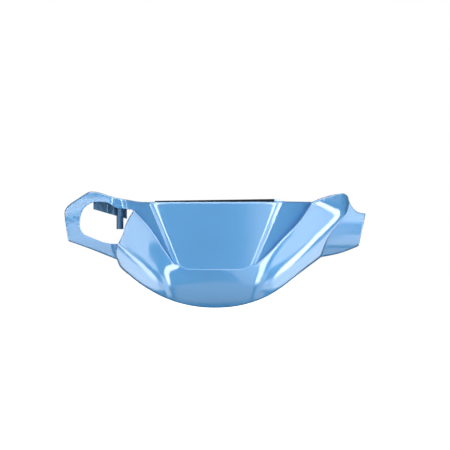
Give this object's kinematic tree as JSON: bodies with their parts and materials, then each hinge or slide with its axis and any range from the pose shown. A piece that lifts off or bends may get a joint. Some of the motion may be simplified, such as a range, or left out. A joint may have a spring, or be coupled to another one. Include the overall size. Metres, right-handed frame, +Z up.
{
  "type": "handlebar front cover",
  "caption": "Front handlebar cover of a motor scooter: a thin painted cowl with a flat centre panel, swept lobes, open collars for the grips and screw posts inside.",
  "frame": {"origin": "on the steering plane, under the middle of the cover, at the height of the lowest point of the chin", "axes": "+X to the right as seen from in front, +Y to the rear, towards the rider, +Z up"},
  "size_m": [0.449, 0.1121, 0.1727],
  "materials": {
    "painted_shell": "light blue metallic paint under clear coat, on a moulded plastic shell",
    "inner_plastic": "the same moulding inside, with a thin overspray of the blue paint",
    "seal": "black foam rubber"
  },
  "bodies": {
    "root": {"bottom_flange_centre": "painted_shell", "bottom_flange_left": "painted_shell", "bottom_flange_right": "painted_shell", "centre_panel": "painted_shell", "channel_left": "painted_shell", "channel_right": "painted_shell", "chin": "painted_shell", "collar_bottom_flange": "painted_shell", "collar_end_lip": "painted_shell", "collar_right": "painted_shell", "collar_top_flange": "painted_shell", "crease_wall": "painted_shell", "crest_wall_left": "painted_shell", "crest_wall_right": "painted_shell", "hanging_flange": "inner_plastic", "hanging_flange_ribs": "inner_plastic", "lobe_end_wall_left": "painted_shell", "lobe_end_wall_right": "painted_shell", "lobe_left": "painted_shell", "lobe_right": "painted_shell", "lobe_top_flange_right": "painted_shell", "lower_boss_left": "inner_plastic", "lower_boss_right": "inner_plastic", "opening_lip_bottom": "painted_shell", "opening_lip_end": "painted_shell", "opening_lip_top": "painted_shell", "panel_bevel_left": "painted_shell", "panel_bevel_right": "painted_shell", "panel_ribs": "inner_plastic", "ring_bottom_flange": "painted_shell", "ring_end": "painted_shell", "ring_end_lip": "painted_shell", "ring_lower_bar": "painted_shell", "ring_top_flange": "painted_shell", "ring_upper_bar": "painted_shell", "screw_post_left": "inner_plastic", "screw_post_right": "inner_plastic", "seal_stop": "painted_shell", "seal_strip": "seal", "top_flange_centre": "painted_shell", "top_flange_left": "painted_shell", "top_flange_right": "painted_shell", "upper_boss_left": "inner_plastic", "upper_boss_right": "inner_plastic"}
  },
  "joints": []
}
